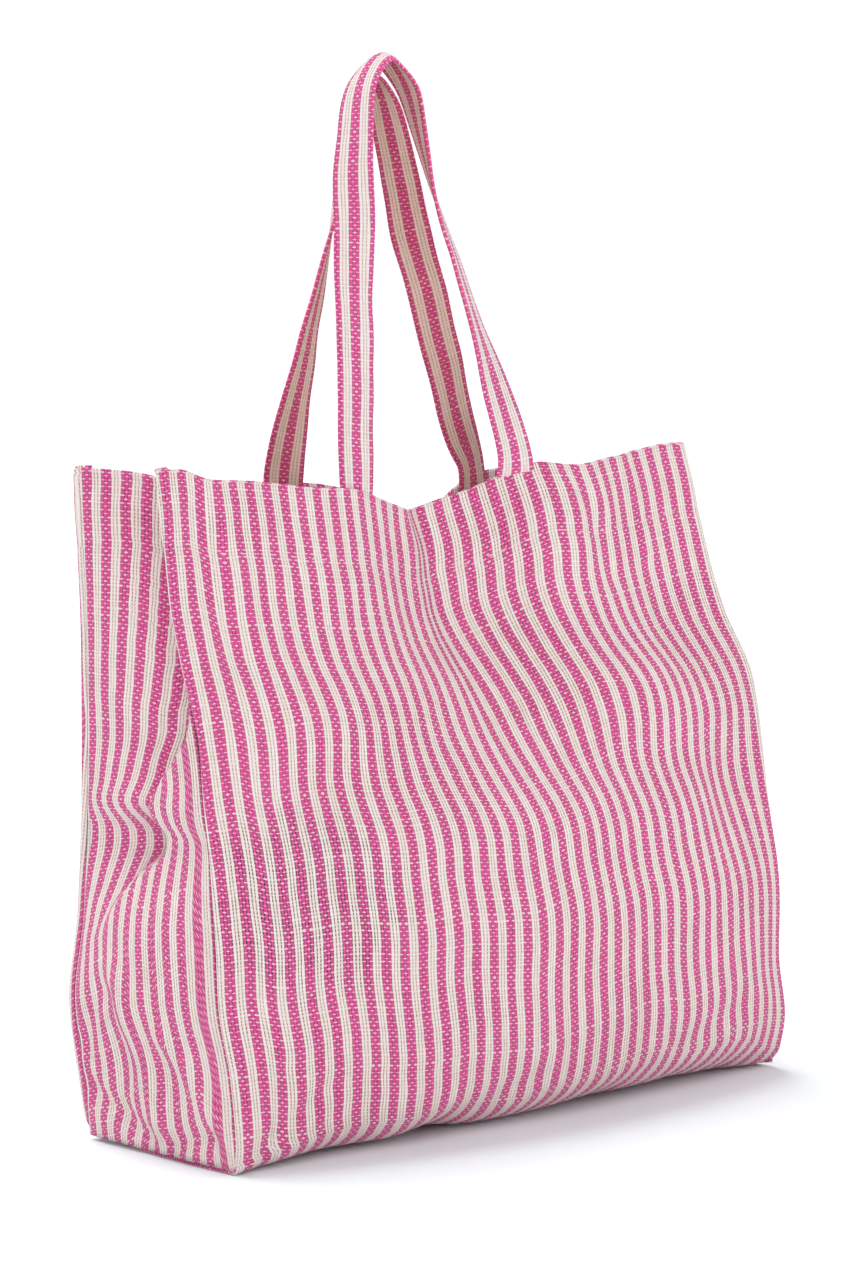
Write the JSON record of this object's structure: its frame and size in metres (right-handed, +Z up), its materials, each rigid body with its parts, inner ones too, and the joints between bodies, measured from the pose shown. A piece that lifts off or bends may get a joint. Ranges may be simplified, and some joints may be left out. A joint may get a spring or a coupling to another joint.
{
  "type": "beach bag",
  "caption": "Tall open-topped cloth beach bag with a wide flat base, folded-in gussets and two strap handles that fold down over the front and the back.",
  "frame": {"origin": "centre of the base rectangle on the floor", "axes": "+Z up; +X towards the bag's right end seen from the front; -Y towards the front panel, which leans back"},
  "size_m": [0.4777, 0.2003, 0.6612],
  "materials": {
    "striped_cloth": "coarse open weave of pink and cream stripes, matte",
    "handle_strap": "coarse woven strap, pink edges and centre on cream, matte",
    "sewing_thread": "cream cotton thread, matte"
  },
  "bodies": {
    "bag": {"front_panel": "striped_cloth", "base_panel": "striped_cloth", "back_panel": "striped_cloth", "left_gusset": "striped_cloth", "right_gusset": "striped_cloth", "front_hem": "striped_cloth", "back_hem": "striped_cloth", "left_gusset_hem": "striped_cloth", "right_gusset_hem": "striped_cloth", "left_front_seam": "striped_cloth", "left_base_seam": "striped_cloth", "left_back_seam": "striped_cloth", "right_front_seam": "striped_cloth", "right_base_seam": "striped_cloth", "right_back_seam": "striped_cloth", "hem_stitching": "sewing_thread", "front_handle_ends": "handle_strap", "back_handle_ends": "handle_strap", "front_handle_stitching": "sewing_thread", "back_handle_stitching": "sewing_thread"},
    "front_strap": {"front_handle": "handle_strap"},
    "back_strap": {"back_handle": "handle_strap"}
  },
  "joints": [
    {"name": "front_handle_fold", "type": "hinge", "parent": "bag", "child": "front_strap", "pos_m": [-0.08, -0.024, 0.397], "axis": [0.9916, -0.0806, 0.1008], "range_deg": [0, 165]},
    {"name": "back_handle_fold", "type": "hinge", "parent": "bag", "child": "back_strap", "pos_m": [-0.076, 0.064, 0.399], "axis": [-0.9996, -0.0219, -0.0187], "range_deg": [0, 170]}
  ]
}
